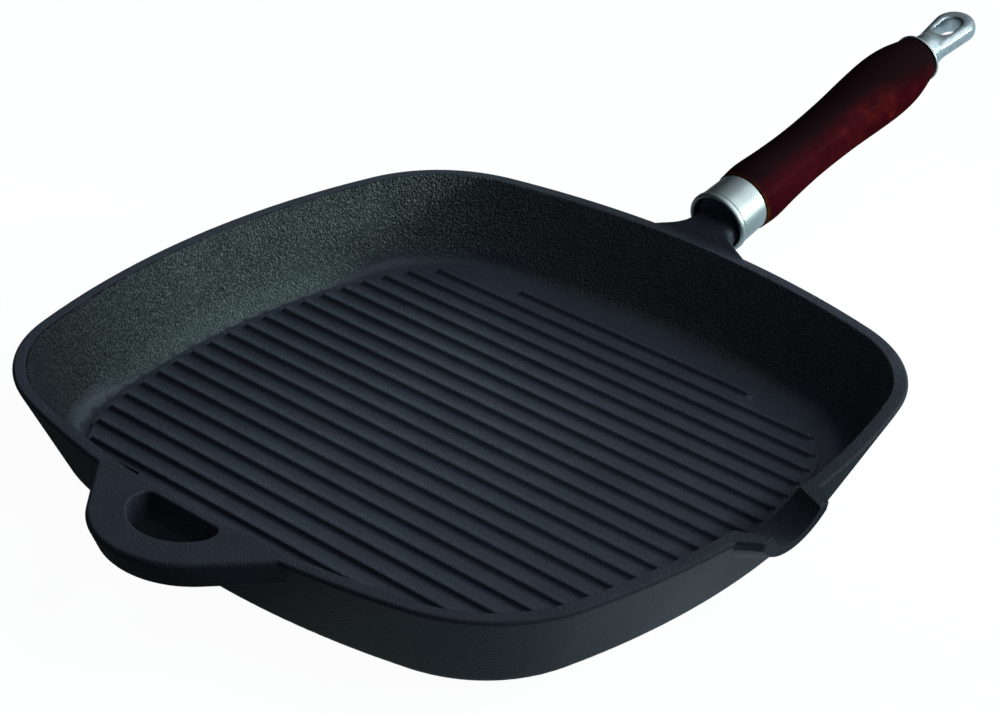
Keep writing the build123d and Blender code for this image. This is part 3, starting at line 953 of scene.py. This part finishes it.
# %% World
SEEN_RAYS = ("Is Camera Ray", "Is Glossy Ray", "Is Transmission Ray")
WHITE = (1.0, 1.0, 1.0)
WORLD_REFLECTED = (0.82, 0.95, 1.0)
WORLD_DIM = (0.86, 0.94, 1, 1)
WORLD_DIM_STRENGTH = 0.055
WHITE_SIDE = Vector((0.82, 0.5, 0.27))
WHITE_SIDE_RANGE = (-0.2, 0.75, 0.04, 0.95)


def white_to_the_eye(tree, factor_output):
    """1 for camera, glossy and transmitted rays, 0 for the rays that light the object."""
    path = add_node(tree, "LightPath")
    seen = highest(tree, *[path.outputs[label] for label in SEEN_RAYS])
    tree.links.new(seen, factor_output)


def towards_side(tree, coordinates, side_direction, marks):
    """How far a direction or place lies to one side, as a value between two ends."""
    towards = add_node(tree, "VectorMath", operation="DOT_PRODUCT")
    towards.inputs[1].default_value = side_direction
    tree.links.new(add_node(tree, "TexCoord").outputs[coordinates], towards.inputs[0])
    return between(tree, towards.outputs["Value"], *marks)


world = bpy.data.worlds.new("studio")
bpy.context.scene.world = world
world.use_nodes = True
tree = world.node_tree
tree.nodes.clear()
mix = add_node(tree, "MixShader")
dim = add_node(tree, "Background", Color=WORLD_DIM, Strength=WORLD_DIM_STRENGTH)
white = add_node(tree, "Background")
bounced = towards_side(tree, "Generated", WHITE_SIDE, WHITE_SIDE_RANGE)
direct = add_node(tree, "LightPath").outputs["Is Camera Ray"]
tree.links.new(highest(tree, direct, bounced), white.inputs["Strength"])
tree.links.new(blend_colours(tree, direct, WORLD_REFLECTED, WHITE), white.inputs["Color"])
white_to_the_eye(tree, mix.inputs[0])
tree.links.new(dim.outputs[0], mix.inputs[1])
tree.links.new(white.outputs[0], mix.inputs[2])
tree.links.new(mix.outputs[0], add_node(tree, "OutputWorld").inputs["Surface"])
print("world is white for:", SEEN_RAYS)

# %% [markdown]
# ## Floor
#
# The floor is pale paper that catches the pan's shadow. To the camera it glows almost white,
# so that it melts into the background. In reflections it glows only on the right and back,
# and is dull in one patch behind the spout, which would else light the outer wall too much.

# %% Floor
FLOOR_SIZE = 8
FLOOR_DROP = -0.0002
PAPER = (0.32, 0.32, 0.32, 1)
FAINT_PAPER = (0.12, 0.14, 0.16, 1)
FLOOR_REFLECTED = (0.72, 0.91, 1.0)
FLOOR_WHITE_STRENGTH = 0.965
FLOOR_LIT_SIDE = (0.83, 0.56, 0)
FLOOR_LIT_RANGE = (-0.08, 0.18, 0.04, 0.88)
DULL_PATCH = (0.17, 0.13, 0)
DULL_PATCH_RANGE = (0.08, 0.15, 0.1, 1)

bpy.ops.object.select_all(action="DESELECT")
bpy.ops.mesh.primitive_plane_add(size=FLOOR_SIZE, location=(0, 0, FLOOR_DROP))
floor = bpy.context.object
floor.name = "studio_floor"
floor_finish = bpy.data.materials.new("white_floor")
floor_finish.use_nodes = True
tree = floor_finish.node_tree
tree.nodes.clear()
diffuse = add_node(tree, "BsdfDiffuse", Color=PAPER)
faint = add_node(tree, "BsdfDiffuse", Color=FAINT_PAPER)
glow = add_node(tree, "Emission")
direct = add_node(tree, "LightPath").outputs["Is Camera Ray"]
lit_side = towards_side(tree, "Object", FLOOR_LIT_SIDE, FLOOR_LIT_RANGE)
from_patch = add_node(tree, "VectorMath", operation="DISTANCE")
from_patch.inputs[1].default_value = DULL_PATCH
tree.links.new(add_node(tree, "TexCoord").outputs["Object"], from_patch.inputs[0])
outside_patch = between(tree, from_patch.outputs["Value"], *DULL_PATCH_RANGE)
sheen = product(tree, lit_side, outside_patch)
strength = highest(tree, product(tree, direct, FLOOR_WHITE_STRENGTH), sheen)
tree.links.new(strength, glow.inputs["Strength"])
tree.links.new(blend_colours(tree, direct, FLOOR_REFLECTED, WHITE), glow.inputs["Color"])

shine = add_node(tree, "MixShader")
both = add_node(tree, "AddShader")
white_to_the_eye(tree, shine.inputs[0])
tree.links.new(glow.outputs[0], both.inputs[0])
tree.links.new(faint.outputs[0], both.inputs[1])
tree.links.new(diffuse.outputs[0], shine.inputs[1])
tree.links.new(both.outputs[0], shine.inputs[2])
tree.links.new(shine.outputs[0], add_node(tree, "OutputMaterial").inputs["Surface"])
floor.data.materials.append(floor_finish)
print("floor", FLOOR_SIZE, "m wide")

# %% [markdown]
# ## Lamps
#
# The photograph has one broad, soft light from the right and back at a plain level. It could
# be a sun, but a sun's shadows are hard, so the key is a large area lamp. A second, narrow and
# low lamp rakes the left wall from the same side, which is what makes its grain stand out.

# %% Lamps
def add_lamp(name, kind, place, aim, power, colour, **settings):
    """A studio lamp of a kind that points at a spot on the pan."""
    light = bpy.data.lights.new(name, kind)
    light.energy = power
    light.color = colour
    for label, value in settings.items():
        setattr(light, label, value)
    lamp = bpy.data.objects.new(name, light)
    lamp.location = place
    lamp.rotation_euler = (Vector(place) - Vector(aim)).to_track_quat("Z", "Y").to_euler()
    bpy.context.scene.collection.objects.link(lamp)
    print(name, power, "W")


add_lamp(
    "key_right_back", "AREA", place=(0.9, 0.62, 1.2), aim=(0, 0, 0.02), power=8.5,
    colour=(0.95, 1, 0.99), shape="RECTANGLE", size=1.5, size_y=1.3,
)
add_lamp(
    "low_right_back", "SPOT", place=(1.25, 1.05, 0.5), aim=(-0.13, 0.03, 0.03), power=95,
    colour=(0.8, 1, 0.88), spot_size=math.radians(12), spot_blend=1.0, shadow_soft_size=0.14,
)

# %% [markdown]
# ## Camera
#
# The camera is a long lens at the photograph's own angle, found by matching the rim, ribs and
# handle. It could be keyed in as one matrix, but a turn and a height round the pan, then a
# slight swing off its centre and a roll, can be read and changed.

# %% Camera
AZIMUTH, ELEVATION, ROLL = math.radians(40.161), math.radians(31.579), math.radians(3.186)
SWING, TIP = math.radians(-0.85), math.radians(-2.098)
DISTANCE = 0.968672
LENS = 95.38
SENSOR_WIDTH = 36
CLIP_RANGE = (0.01, 20)


def direction(azimuth, elevation):
    """A unit vector from the pan towards a place round and above it."""
    flat = math.cos(elevation)
    return Vector((math.sin(azimuth) * flat, -math.cos(azimuth) * flat, math.sin(elevation)))


look = -direction(AZIMUTH + SWING, ELEVATION + TIP)
level = look.cross(Vector((0, 0, 1))).normalized()
upright = level.cross(look)
right = level * math.cos(ROLL) + upright * math.sin(ROLL)
up = upright * math.cos(ROLL) - level * math.sin(ROLL)
camera_data = bpy.data.cameras.new("photo_camera")
camera_data.lens = LENS
camera_data.sensor_width = SENSOR_WIDTH
camera_data.clip_start, camera_data.clip_end = CLIP_RANGE
camera = bpy.data.objects.new("photo_camera", camera_data)
turn = Matrix((right, up, -look)).transposed().to_4x4()
camera.matrix_world = Matrix.Translation(direction(AZIMUTH, ELEVATION) * DISTANCE) @ turn
bpy.context.scene.collection.objects.link(camera)
bpy.context.scene.camera = camera
bpy.context.scene.view_settings.view_transform = "Standard"
print("camera at", tuple(round(value, 3) for value in camera.location))
